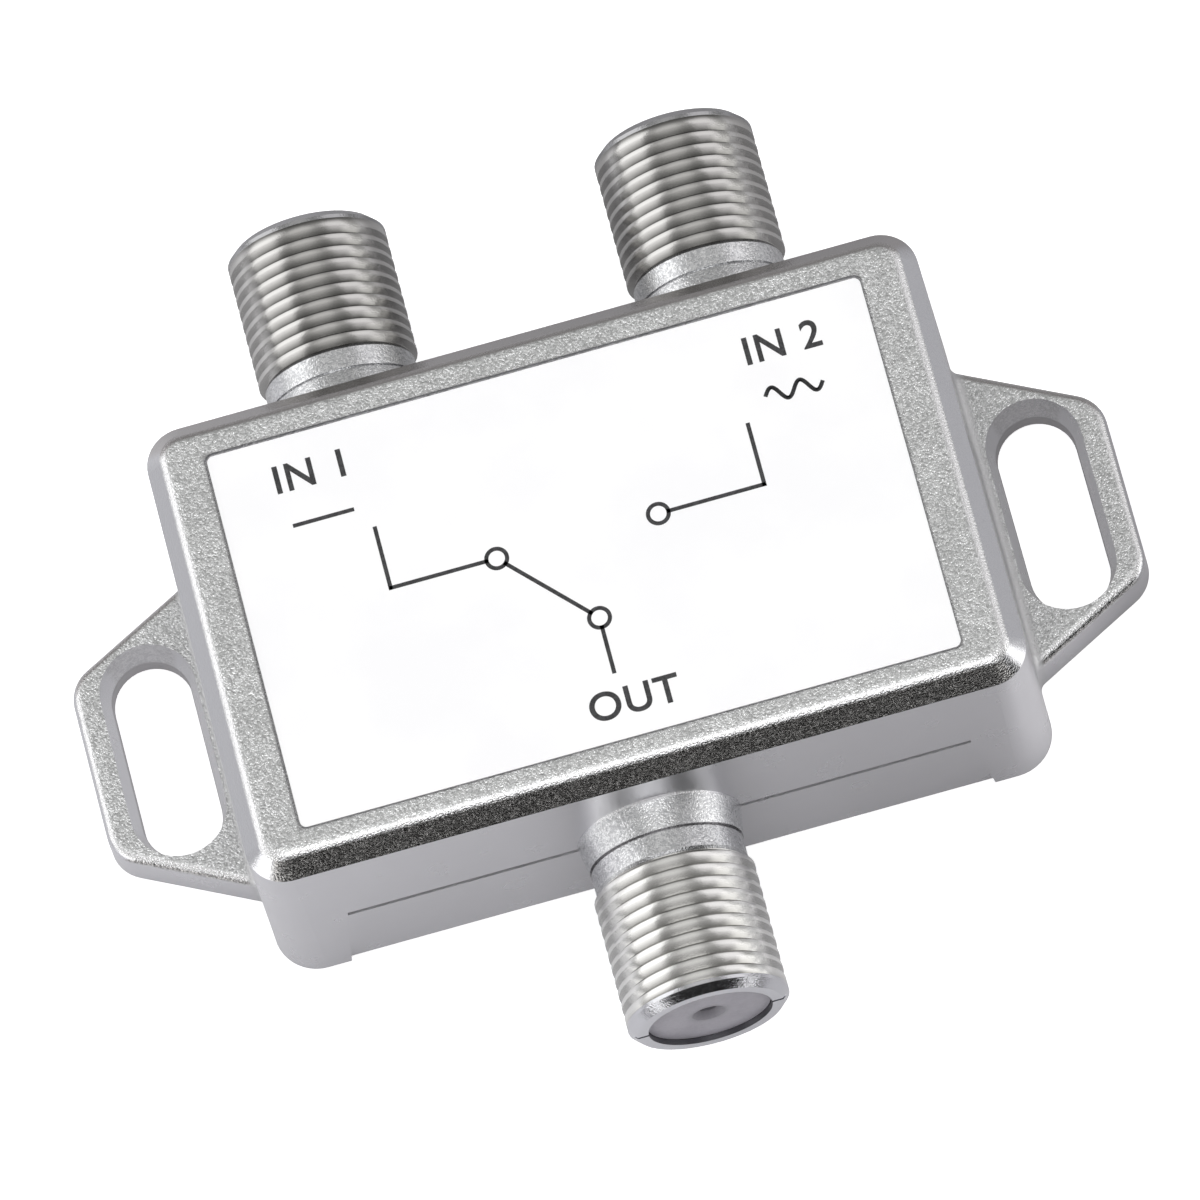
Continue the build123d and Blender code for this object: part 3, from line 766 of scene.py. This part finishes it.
@dataclass(frozen=True)
class Grained(Finish):
    """Plastic, film, ink, epoxy, ceramic or ferrite with a fine grain, in two tones.

    Sizes are in millimetres, depths in metres. The spread gives the shares of the roughness in the tones.

    Attributes:
        cells, speck_share: grains to a millimetre, and their share in the tones beside that of the clouds.
        metal, metal_colour, metal_rough: which bare metal the part has, its colour and its roughness.
        lead_height, end_step: height of leads off the board, and how far tinned ends face along X.
        wire_step, round_step: the wave that draws turns of wire, and how little these face along an axis.
    """

    colour: Colour
    shade: Colour
    roughness: float = 0.45
    rough_spread: Pair = (0.85, 1.15)
    cells: float = 5.0
    grain_depth: float = 0.006 * MM
    cloud_size: float = 2.0
    speck_share: float = 0.35
    metal: Metal = Metal.NONE
    metal_colour: Colour = (0.68, 0.68, 0.7)
    metal_rough: Pair = (0.2, 0.3)
    lead_height: float = 0.3
    end_step: Pair = (0.8, 0.9)
    wire_pitch: float = 0.22
    round_step: Pair = (0.999, 0.99)
    wire_step: Pair = (-0.9, -0.5)

    def paint(self, tree: Tree, shader: Node, effects: Effects) -> None:
        """Joins the grain, the change of tone and the bare metal, see Finish.paint."""
        place = tree.place()
        grain = tree.effect(effects.grain, Place=place, Cells=self.cells)
        clouds = tree.effect(effects.clouds, Place=place, Size=self.cloud_size).outputs["Tone"]
        share = tree.blend(self.speck_share, clouds, grain.outputs["Specks"])
        colour = tree.tint(share, self.colour, self.shade)
        rough = tree.blend(share, *[self.roughness * part for part in self.rough_spread])
        if self.metal is not Metal.NONE:
            bare = self._bare(tree, place)
            colour = tree.tint(bare, colour, self.metal_colour)
            rough = tree.blend(bare, rough, tree.blend(clouds, *self.metal_rough))
            tree.put(shader.inputs["Metallic"], bare)
        tree.put(shader.inputs["Base Color"], colour)
        tree.put(shader.inputs["Roughness"], rough)
        if self.grain_depth:
            self.emboss(tree, shader, grain.outputs["Height"], self.grain_depth)

    def _bare(self, tree: Tree, place: Socket) -> Socket:
        """Finds the bare metal of the part.

        Args:
            tree: the material's node tree.
            place: the place on the part in millimetres.

        Returns:
            A mask of the metal.
        """
        across, _, above = tree.parts(place)
        if self.metal is Metal.LEADS:
            level = BOARD_FACE - self.lead_height
            return tree.ramp(above, level - HAIR, level + HAIR)
        normal = tree.parts(tree.add("ShaderNodeNewGeometry").outputs["Normal"])
        sides = [tree.math("ABSOLUTE", part) for part in normal]
        if self.metal is Metal.ENDS:
            return tree.ramp(sides[0], *self.end_step)
        turns = tree.math("SINE", tree.math("MULTIPLY", across, math.tau / self.wire_pitch))
        most = tree.math("MAXIMUM", sides[0], tree.math("MAXIMUM", sides[1], sides[2]))
        return tree.both(tree.ramp(most, *self.round_step), tree.ramp(turns, *self.wire_step))


@dataclass(frozen=True)
class SocketPlug(Grained):
    """Moulded plug of a socket, with painted shade round the hole for the wire.

    Attributes:
        dim: share of the colour that is left at the hole.
        hole_radius, dim_radius: where the dimmer middle begins and how far it reaches, in millimetres.
    """

    dim: float = 0.5
    hole_radius: float = 0.5
    dim_radius: float = 1.5

    def paint(self, tree: Tree, shader: Node, effects: Effects) -> None:
        """Joins the grain and the painted shade round the hole, see Finish.paint."""
        super().paint(tree, shader, effects)
        radius = tree.measure("LENGTH", port_spoke(tree, tree.place()))
        share = tree.ramp(radius, self.hole_radius, self.dim_radius, self.dim, 1.0)
        plain = shader.inputs["Base Color"].links[0].from_socket
        tree.put(shader.inputs["Base Color"], tree.scaled(plain, share))


@dataclass(frozen=True)
class Laminate(Finish):
    """Circuit board: green lacquer over copper tracks.

    Sizes are in millimetres, the height of the tracks in metres.
    """

    lacquer: Colour = (0.012, 0.11, 0.045)
    track: Colour = (0.03, 0.19, 0.075)
    track_cells: float = 0.55
    track_edge: Pair = (0.1, 0.14)
    track_height: float = 0.03 * MM
    cloud_size: float = 5.0
    rough: Pair = (0.25, 0.36)

    def paint(self, tree: Tree, shader: Node, effects: Effects) -> None:
        """Joins the raised tracks under the lacquer, see Finish.paint."""
        place = tree.place()
        cells = tree.cells(place, self.track_cells, "DISTANCE_TO_EDGE")
        tracks = tree.ramp(cells.outputs["Distance"], *self.track_edge)
        clouds = tree.effect(effects.clouds, Place=place, Size=self.cloud_size).outputs["Tone"]
        tree.put(shader.inputs["Base Color"], tree.tint(tracks, self.lacquer, self.track))
        tree.put(shader.inputs["Roughness"], tree.blend(clouds, *self.rough))
        self.emboss(tree, shader, tracks, self.track_height)


class FinishKind(Enum):
    """Every finish of the switch."""

    CASTING = CastNickel("cast_nickel", "satin_nickel_casting")
    FILM = Grained(
        "label_film",
        "white_label",
        (0.93, 0.93, 0.935),
        (0.9, 0.9, 0.915),
        1.0,
        rough_spread=(0.42, 0.5),
        cells=9.0,
        grain_depth=0.002 * MM,
        cloud_size=6.0,
        speck_share=0.0,
    )
    INK = Grained(
        "label_ink",
        "white_label",
        (0.022, 0.022, 0.024),
        (0.05, 0.05, 0.053),
        1.0,
        rough_spread=(0.5, 0.62),
        grain_depth=0.0,
        speck_share=1.0,
    )
    COVER = SheetMetal("tinned_cover", "tinplate", (0.62, 0.625, 0.63), (0.48, 0.485, 0.49), 0.3)
    BOARD = Laminate("green_board", "board_laminate")
    SCREW = SheetMetal("zinc_screws", "screw_steel", (0.6, 0.59, 0.54), (0.42, 0.41, 0.38), 0.34)
    INSULATOR = SocketPlug(
        "socket_insulator", "insulator_plastic", (0.44, 0.425, 0.47), (0.37, 0.355, 0.4), 0.38
    )
    BRONZE = SheetMetal("contact_bronze", "contact_bronze", (0.75, 0.5, 0.25), (0.6, 0.36, 0.16), 0.26)
    SOLDER = SheetMetal("bright_solder", "solder", (0.68, 0.68, 0.7), (0.5, 0.5, 0.52), 0.24)
    EPOXY = Grained(
        "black_packages", "black_epoxy", (0.012, 0.012, 0.013), (0.03, 0.03, 0.032), 0.5, metal=Metal.LEADS
    )
    CAN = CanSleeve("capacitor_can", "capacitor_can", (0.72, 0.72, 0.74), (0.55, 0.55, 0.57), 0.22)
    FERRITE = Grained(
        "choke_ferrite",
        "dark_ferrite",
        (0.035, 0.034, 0.036),
        (0.07, 0.068, 0.07),
        0.4,
        metal=Metal.WINDING,
        metal_colour=(0.72, 0.33, 0.16),
    )
    CERAMIC = Grained(
        "tan_ceramic", "tan_ceramic", (0.42, 0.29, 0.17), (0.34, 0.22, 0.12), 0.5, metal=Metal.ENDS
    )
    RESISTOR = Grained(
        "resistor_film", "resistor_film", (0.02, 0.02, 0.022), (0.05, 0.05, 0.05), 0.3, metal=Metal.ENDS
    )


class Workshop:
    """Makes each finish when it is first asked for and puts it on pieces."""

    def __init__(self) -> None:
        """Builds the shared effects."""
        self.effects = Effects()
        self.made: dict[FinishKind, bpy.types.Material] = {}

    def material(self, kind: FinishKind) -> bpy.types.Material:
        """Gives the material of a finish.

        Args:
            kind: the finish.

        Returns:
            Its material, made once.
        """
        if kind not in self.made:
            self.made[kind] = kind.value.material(self.effects)
        return self.made[kind]

    def dress(self, piece: bpy.types.Object, kind: FinishKind) -> None:
        """Puts a finish on all of a piece.

        Args:
            piece: the piece.
            kind: its finish.
        """
        if not piece.material_slots:
            piece.data.materials.append(None)
        for material_slot in piece.material_slots:
            material_slot.material = self.material(kind)
        log.info("%s has the finish %s", piece.name, kind.value.name)

    def dress_nodes(self, names: Sequence[str], kind: FinishKind) -> None:
        """Puts a finish on nodes of the model."""
        for name in names:
            self.dress(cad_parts[name], kind)


@dataclass
class Casting:
    """The box with its ears and barrels, and the cover under it."""

    def build(self, workshop: Workshop) -> None:
        """Dresses the casting and its cover with finishes from the workshop."""
        workshop.dress_nodes(("housing",), FinishKind.CASTING)
        workshop.dress_nodes(("back_cover",), FinishKind.COVER)


@dataclass
class Sockets:
    """Insulators and contacts in the three barrels."""

    def build(self, workshop: Workshop) -> None:
        """Dresses what is in each socket.

        Args:
            workshop: where the finishes come from.
        """
        for port in PORTS:
            workshop.dress_nodes((f"front_insulator_{port}", f"rear_insulator_{port}"), FinishKind.INSULATOR)
            contact = (f"contact_tail_{port}", f"contact_leaf_upper_{port}", f"contact_leaf_lower_{port}")
            workshop.dress_nodes(contact, FinishKind.BRONZE)


@dataclass
class Board:
    """Circuit board with its parts, inside the box.

    Attributes:
        packages: the parts in black epoxy.
        others: every other part with its finish.
    """

    packages: tuple[str, ...] = (
        "tone_detector_chip",
        "voltage_regulator",
        "switching_transistors",
        "driver_transistors",
        "rf_diodes",
    )
    others: tuple[tuple[str, FinishKind], ...] = (
        ("circuit_board", FinishKind.BOARD),
        ("board_screws", FinishKind.SCREW),
        ("solder_joints", FinishKind.SOLDER),
        ("electrolytic_capacitors", FinishKind.CAN),
        ("rf_chokes", FinishKind.FERRITE),
        ("chip_capacitors", FinishKind.CERAMIC),
        ("chip_resistors", FinishKind.RESISTOR),
    )

    def build(self, workshop: Workshop) -> None:
        """Dresses the board and its parts.

        Args:
            workshop: where the finishes come from.
        """
        workshop.dress_nodes(self.packages, FinishKind.EPOXY)
        for name, kind in self.others:
            workshop.dress_nodes((name,), kind)


@dataclass
class Label:
    """Printed film on the top, with generic names of the ports and a line diagram of a changeover switch.

    Sizes are in millimetres. The diagram's points are those of its right half, from the middle of the switch.

    Attributes:
        ink_height, stroke: how far the ink stands on the film, and width of the lines.
        capital_height, capital_share: height of the letters, and its share of the font's size.
        names: letters and centre of each port's name.
        contact, entry, pivot: where the diagram has its contact, the end of its input and its output.
        ring, tail: radius of its terminals, and length of the output's line from its pivot.
        sign_drop, sign_half: how far the tone signs are below the names, and half their length.
        swing, waves, wave_steps, wave_overlap: height, number, fineness and overlap of a tone's waves.
    """

    ink_height: float = 0.012
    capital_height: float = 1.75
    capital_share: float = 0.72
    boldness: float = 0.035
    spacing: float = 1.08
    names: dict[str, tuple[str, float, float]] = field(
        default_factory=lambda: {
            "input_1": ("IN 1", -13.8, 9.0),
            "input_2": ("IN 2", 14.2, 8.9),
            "output": ("OUT", 0.7, -9.8),
        }
    )
    stroke: float = 0.24
    contact: Pair = (4.8, 0.8)
    entry: Pair = (11.1, 4.6)
    pivot: Pair = (0.0, -4.4)
    ring: float = 0.6
    tail: float = 3.4
    sign_drop: float = 2.9
    sign_half: float = 1.7
    swing: float = 0.45
    waves: int = 2
    wave_steps: int = 48
    wave_overlap: float = 0.1

    def __post_init__(self) -> None:
        """Reads the top of the film."""
        self.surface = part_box("label")[1].z

    def build(self, workshop: Workshop) -> None:
        """Dresses the film and adds the print.

        Args:
            workshop: where the finishes come from.
        """
        workshop.dress_nodes(("label",), FinishKind.FILM)
        for port, (text, across, along) in self.names.items():
            self._finish(self._lettering(f"print_{port}", text, across, along), workshop)
        self._finish(self._diagram(), workshop)
        self._finish(self._tones(), workshop)

    def _finish(self, piece: bpy.types.Object, workshop: Workshop) -> None:
        """Inks a piece of print and lets it ride on the box."""
        workshop.dress(piece, FinishKind.INK)
        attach(piece, BODY)

    def _lettering(self, name: str, text: str, across: float, along: float) -> bpy.types.Object:
        """Makes one name as flat letters.

        Args:
            name: name of the piece.
            text: the letters.
            across: centre along X, in millimetres.
            along: centre along Y, in millimetres.

        Returns:
            The letters as a mesh on the film.
        """
        curve = bpy.data.curves.new(name, "FONT")
        curve.body = text
        curve.align_x = "CENTER"
        curve.align_y = "CENTER"
        curve.size = self.capital_height / self.capital_share * MM
        curve.extrude = self.ink_height / 2 * MM
        curve.space_character = self.spacing
        curve.offset = self.boldness * MM
        shaper = bpy.data.objects.new(name + "_shape", curve)
        mesh = bpy.data.meshes.new_from_object(shaper)
        mesh.name = name
        height = self.surface + self.ink_height / 2 * MM
        mesh.transform(Matrix.Translation((across * MM, along * MM, height)))
        bpy.data.objects.remove(shaper)
        bpy.data.curves.remove(curve)
        return self._piece(name, mesh)

    @staticmethod
    def _piece(name: str, mesh: bpy.types.Mesh) -> bpy.types.Object:
        """Links a mesh into the scene.

        Args:
            name: name of the piece.
            mesh: its mesh.

        Returns:
            The piece.
        """
        piece = bpy.data.objects.new(name, mesh)
        bpy.context.scene.collection.objects.link(piece)
        return piece

    def _diagram(self) -> bpy.types.Object:
        """Makes the diagram: two inputs, a lever and an output.

        Returns:
            The diagram's lines as one flat mesh on the film.
        """
        contact, entry, pivot = Vector(self.contact), Vector(self.entry), Vector(self.pivot)
        corner = Vector((entry.x, contact.y))
        left, right = Vector((-1, 1)), Vector((1, 1))
        sketch = bmesh.new()
        for mirror in (left, right):
            self._ring(sketch, contact * mirror, self.ring)
            run = (contact + Vector((self.ring, 0)), corner, entry)
            self._line(sketch, [point * mirror for point in run])
        self._ring(sketch, pivot, self.ring)
        reach = (contact * left - pivot).normalized() * self.ring
        self._line(sketch, [pivot + reach, contact * left - reach])
        self._line(sketch, [pivot - Vector((0, self.ring)), pivot - Vector((0, self.tail))])
        return self._flat("print_diagram", sketch)

    def _tones(self) -> bpy.types.Object:
        """Makes the sign under each input's name: a flat line without the tone, a wave with it.

        Returns:
            Both signs as one flat mesh on the film.
        """
        sketch = bmesh.new()
        for port, swing, steps, overlap in (
            ("input_1", 0.0, 1, 0.5),
            ("input_2", self.swing, self.wave_steps, self.wave_overlap),
        ):
            _, across, along = self.names[port]
            level = along - self.sign_drop
            points = []
            for step in range(steps + 1):
                share = step / steps
                rise = swing * math.sin(math.tau * self.waves * share)
                points.append(Vector((across + self.sign_half * (2 * share - 1), level + rise)))
            self._line(sketch, points, overlap)
        return self._flat("print_tones", sketch)

    def _flat(self, name: str, sketch: bmesh.types.BMesh) -> bpy.types.Object:
        """Lays a sketch on the film.

        Args:
            name: name of the piece.
            sketch: the mesh in millimetres, which is used up.

        Returns:
            The piece.
        """
        mesh = bpy.data.meshes.new(name)
        sketch.to_mesh(mesh)
        sketch.free()
        mesh.transform(Matrix.Translation((0, 0, self.surface)) @ Matrix.Scale(MM, 4))
        return self._piece(name, mesh)

    def _line(self, sketch: bmesh.types.BMesh, points: Sequence[Vector], overlap: float = 0.5) -> None:
        """Adds a line with square corners.

        Args:
            sketch: the mesh that the line goes into, in millimetres.
            points: its corners.
            overlap: how far each stretch runs past its ends, as a share of the stroke.
        """
        for first, second in zip(points, points[1:]):
            run = (second - first).normalized()
            side = Vector((-run.y, run.x)) * self.stroke / 2
            start = first - run * self.stroke * overlap
            end = second + run * self.stroke * overlap
            self._slab(sketch, [start - side, end - side, end + side, start + side])

    def _ring(self, sketch: bmesh.types.BMesh, centre: Vector, radius: float, sides: int = 32) -> None:
        """Adds a round terminal.

        Args:
            sketch: the mesh that it goes into, in millimetres.
            centre: its centre.
            radius: its middle radius.
            sides: how many flats it has.
        """
        turns = [math.tau * step / sides for step in range(sides + 1)]
        rays = [Vector((math.cos(turn), math.sin(turn))) for turn in turns]
        inner, outer = radius - self.stroke / 2, radius + self.stroke / 2
        for first, second in zip(rays, rays[1:]):
            corners = [first * inner, first * outer, second * outer, second * inner]
            self._slab(sketch, [centre + corner for corner in corners])

    def _slab(self, sketch: bmesh.types.BMesh, corners: Sequence[Vector]) -> None:
        """Adds one flat block of ink.

        Args:
            sketch: the mesh that it goes into, in millimetres.
            corners: its outline, counter-clockwise.
        """
        lower = [sketch.verts.new((corner.x, corner.y, 0.0)) for corner in corners]
        upper = [sketch.verts.new((corner.x, corner.y, self.ink_height)) for corner in corners]
        sketch.faces.new(upper)
        sketch.faces.new(lower[::-1])
        for step in range(len(corners)):
            after = (step + 1) % len(corners)
            sketch.faces.new((lower[step], lower[after], upper[after], upper[step]))


def direction(azimuth: float, elevation: float) -> Vector:
    """Gives a direction from the switch.

    Args:
        azimuth: degrees from the front towards the right.
        elevation: degrees above the floor.

    Returns:
        A unit vector.
    """
    turn, rise = math.radians(azimuth), math.radians(elevation)
    return Vector((math.sin(turn) * math.cos(rise), -math.cos(turn) * math.cos(rise), math.sin(rise)))


@dataclass(frozen=True)
class SoftBox:
    """A soft lamp that points at the switch.

    Angles are in degrees from the front towards the right, and above the floor. Sizes are in metres.

    Attributes:
        brightness: brightness of its face, where 1 is a white wall.
        mirrored: whether shiny surfaces show the lamp.
    """

    name: str
    azimuth: float
    elevation: float
    width: float
    height: float
    brightness: float
    colour: Colour = (1.0, 1.0, 1.0)
    distance: float = 0.9
    mirrored: bool = True

    def build(self) -> None:
        """Hangs the lamp, out of the camera's sight."""
        lamp = bpy.data.lights.new(self.name, "AREA")
        lamp.shape = "RECTANGLE"
        lamp.size, lamp.size_y = self.width, self.height
        lamp.energy = self.brightness * math.pi * self.width * self.height
        lamp.color = self.colour
        holder = bpy.data.objects.new(self.name, lamp)
        bpy.context.scene.collection.objects.link(holder)
        away = direction(self.azimuth, self.elevation)
        holder.location = away * self.distance
        holder.rotation_euler = (-away).to_track_quat("-Z", "Y").to_euler()
        holder.visible_camera = False
        holder.visible_glossy = self.mirrored


@dataclass(frozen=True)
class Floor:
    """Floor just under the switch: white to the camera, graded grey with painted light and shade in the
    metal.

    Size and gap are in metres, places and reaches in millimetres. A glow is the light that this grey adds.

    Attributes:
        bright, dim, side: the greys of painted light to the left, to the right and far aside.
        slope: which way the left gives way to the right.
        diagonal, far: painted pools of light off the front corners, and painted dark to the front, which has
            no glow.
        hollow, hollow_shape, hollow_share: middle and stretch of a painted shadow behind the switch, and
        what it leaves of the light.
        patch, patch_share: the same of a painted pool of light at the right.
    """

    size: float = 6.0
    gap: float = 0.00005
    white: Colour = (0.93, 0.93, 0.94)
    white_glow: float = 0.6
    bright: Colour = (0.63, 0.63, 0.655)
    bright_glow: float = 0.21
    dim: Colour = (0.33, 0.325, 0.335)
    dim_glow: float = 0.11
    slope: Colour = (0.95, 0.32, 0.0)
    slope_reach: Pair = (-60.0, 60.0)
    side: Colour = (0.48, 0.48, 0.5)
    side_glow: float = 0.16
    side_reach: Pair = (50.0, 90.0)
    diagonal: Colour = (0.95, 0.95, 0.95)
    diagonal_glow: float = 0.9
    diagonal_aside: Pair = (40.0, 60.0)
    diagonal_front: Pair = (-8.0, -20.0)
    far: Colour = (0.1, 0.1, 0.1)
    far_reach: Pair = (-36.0, -56.0)
    hollow: Colour = (0.0, 33.0, 0.0)
    hollow_shape: Colour = (0.55, 1.0, 0.0)
    hollow_reach: Pair = (8.0, 24.0)
    hollow_share: float = 0.68
    patch: Colour = (28.0, -15.0, 0.0)
    patch_reach: Pair = (9.0, 3.0)
    patch_share: float = 1.6

    def build(self) -> None:
        """Lays the floor."""
        mesh = bpy.data.meshes.new("floor")
        sheet = bmesh.new()
        bmesh.ops.create_grid(sheet, x_segments=1, y_segments=1, size=self.size / 2)
        sheet.to_mesh(mesh)
        sheet.free()
        mesh.materials.append(self._paper())
        floor = bpy.data.objects.new("floor", mesh)
        floor.location.z = -self.gap
        bpy.context.scene.collection.objects.link(floor)

    def _paper(self) -> bpy.types.Material:
        """Makes the material: one look for the camera, another for the metal.

        Returns:
            The material.
        """
        material = bpy.data.materials.new("floor_paper")
        material.use_nodes = True
        tree = Tree(material.node_tree)
        tree.tree.nodes.clear()
        looks = {
            0: tree.add("ShaderNodeLightPath").outputs["Is Camera Ray"],
            1: self._lit(tree, *self._grades(tree)),
            2: self._lit(tree, self.white, self.white_glow),
        }
        choice = tree.add("ShaderNodeMixShader", looks)
        tree.add("ShaderNodeOutputMaterial", {"Surface": choice.outputs[0]})
        return material

    @staticmethod
    def _lit(tree: Tree, colour: Feed, glow: Feed) -> Socket:
        """Makes a matt surface that adds a glow.

        Args:
            tree: the material's node tree.
            colour: colour of the surface.
            glow: strength of the glow.

        Returns:
            The shader of both.
        """
        matt = tree.add("ShaderNodeBsdfDiffuse", {"Color": colour})
        lamp = tree.add("ShaderNodeEmission", {"Strength": glow})
        return tree.add("ShaderNodeAddShader", {0: matt.outputs[0], 1: lamp.outputs[0]}).outputs[0]

    def _grades(self, tree: Tree) -> tuple[Socket, Socket]:
        """Works out the floor that the metal shows, with its painted light and shade.

        Args:
            tree: the material's node tree.

        Returns:
            Its grey and its glow.
        """
        place = tree.place()
        across, depth, _ = tree.parts(place)
        outward = tree.math("ABSOLUTE", across)
        # Painted light that falls off to the right and the rear, with pools of light off the front corners.
        fall = tree.ramp(tree.measure("DOT_PRODUCT", place, self.slope), *self.slope_reach)
        aside = tree.ramp(outward, *self.side_reach)
        diagonal = tree.both(tree.ramp(outward, *self.diagonal_aside), tree.ramp(depth, *self.diagonal_front))
        far = tree.math("SUBTRACT", tree.ramp(depth, *self.far_reach), diagonal, clamp=True)
        masks = (fall, aside, diagonal, far)
        greys = (self.dim, self.side, self.diagonal, self.far)
        grey = tree.stack(Mix.COLOUR, self.bright, zip(masks, greys))
        glows = (self.dim_glow, self.side_glow, self.diagonal_glow, 0.0)
        glow = tree.stack(Mix.NUMBER, self.bright_glow, zip(masks, glows))
        # Painted shadow behind the switch, and a painted pool of light at the right.
        hollow = tree.measure("DISTANCE", tree.vector("MULTIPLY", place, self.hollow_shape), self.hollow)
        patch = tree.measure("DISTANCE", place, self.patch)
        share = tree.both(
            tree.ramp(hollow, *self.hollow_reach, self.hollow_share, 1.0),
            tree.ramp(patch, *self.patch_reach, 1.0, self.patch_share),
        )
        return tree.scaled(grey, share), tree.math("MULTIPLY", glow, share)


@dataclass(frozen=True)
class Room:
    """Even pale room: paler overhead, bright low at the sides and dark on the camera's side.

    Angles are in degrees, bearings are taken from the front towards the right.

    Attributes:
        ceiling_way, ceiling_reach: bearing and height of the paler part, and how far from there it fades.
        middle: the bearing that glow and gloom lie about.
        glow_aside, glow_rise, gloom_aside, gloom_rise: where these fade aside and upwards.
    """

    wall: float = 0.36
    ceiling: float = 0.74
    ceiling_way: Pair = (180.0, 72.0)
    ceiling_reach: Pair = (24.0, 12.0)
    middle: float = 10.0
    glow: float = 1.9
    glow_aside: Pair = (100.0, 85.0)
    glow_rise: Pair = (34.0, 20.0)
    gloom: float = 0.012
    gloom_aside: Pair = (55.0, 47.0)
    gloom_rise: Pair = (40.0, 32.0)
    colour: Colour = (1.0, 0.995, 0.98)

    def build(self) -> None:
        """Makes the world that holds the room."""
        world = bpy.data.worlds.new("studio_room")
        bpy.context.scene.world = world
        world.use_nodes = True
        tree = Tree(world.node_tree)
        look = tree.add("ShaderNodeTexCoord").outputs["Generated"]
        toward = tree.measure("DOT_PRODUCT", look, direction(*self.ceiling_way))
        angle = tree.math("DEGREES", tree.math("ARCCOSINE", toward))
        light = tree.ramp(angle, *self.ceiling_reach, self.wall, self.ceiling)
        across, depth, above = tree.parts(look)
        bearing = tree.math("DEGREES", tree.math("ARCTAN2", across, tree.math("MULTIPLY", depth, -1.0)))
        aside = tree.math("ABSOLUTE", tree.math("SUBTRACT", bearing, self.middle))
        rise = tree.math("DEGREES", tree.math("ARCSINE", above))
        glow = tree.both(tree.ramp(aside, *self.glow_aside), tree.ramp(rise, *self.glow_rise))
        gloom = tree.both(tree.ramp(aside, *self.gloom_aside), tree.ramp(rise, *self.gloom_rise))
        background = world.node_tree.nodes["Background"]
        layers = ((glow, self.glow), (gloom, self.gloom))
        tree.put(background.inputs["Strength"], tree.stack(Mix.NUMBER, light, layers))
        tree.put(background.inputs["Color"], self.colour)


@dataclass(frozen=True)
class View:
    """Camera at the photograph's viewing angle.

    Angles are in degrees, lens and sensor in millimetres, all else in metres. The target is in the middle
    of the picture.
    """

    azimuth: float = 2.871
    elevation: float = 68.497
    roll: float = 18.188
    distance: float = 0.73497
    lens: float = 377.27
    sensor: float = 36.0
    target: Colour = (-0.00002, 0.00282, 0.0)
    clip: Pair = (0.01, 20.0)

    def build(self) -> None:
        """Places the camera."""
        away = direction(self.azimuth, self.elevation)
        right = Vector((math.cos(math.radians(self.azimuth)), math.sin(math.radians(self.azimuth)), 0.0))
        up = away.cross(right)
        turn = math.radians(self.roll)
        across = right * math.cos(turn) - up * math.sin(turn)
        above = right * math.sin(turn) + up * math.cos(turn)
        camera = bpy.data.cameras.new("camera")
        camera.lens = self.lens
        camera.sensor_width = self.sensor
        camera.clip_start, camera.clip_end = self.clip
        holder = bpy.data.objects.new("camera", camera)
        bpy.context.scene.collection.objects.link(holder)
        axes = Matrix((across, above, away)).transposed().to_4x4()
        holder.matrix_world = Matrix.Translation(Vector(self.target) + away * self.distance) @ axes
        bpy.context.scene.camera = holder


@dataclass(frozen=True)
class Studio:
    """Pale floor, room, lamps and camera.

    Attributes:
        floor, room, view: the floor, the room and the camera.
        boxes: the lamps.
    """

    floor: Floor = Floor()
    room: Room = Room()
    view: View = View()
    boxes: tuple[SoftBox, ...] = (
        SoftBox("left_box", -114.0, 29.0, 0.85, 0.74, 1.14),
        SoftBox("right_box", 117.0, 35.0, 0.6, 0.52, 0.7, (1.0, 0.98, 1.0)),
        SoftBox("top_box", 0.0, 61.0, 0.7, 0.8, 1.6),
        SoftBox("paper_fill", 180.0, 80.0, 0.5, 0.5, 2.8, mirrored=False),
    )

    def build(self) -> None:
        """Builds all of it and shows colours as they are."""
        for piece in (self.floor, self.room, *self.boxes, self.view):
            piece.build()
        bpy.context.scene.view_settings.view_transform = "Standard"


def main() -> None:
    """Builds the looks of the switch, then the studio."""
    logging.basicConfig(level=logging.INFO, format="%(message)s")
    workshop = Workshop()
    for assembly in (Casting(), Label(), Sockets(), Board()):
        assembly.build(workshop)
        log.info("%s is done", type(assembly).__name__)
    Studio().build()


if __name__ == "__main__":
    main()
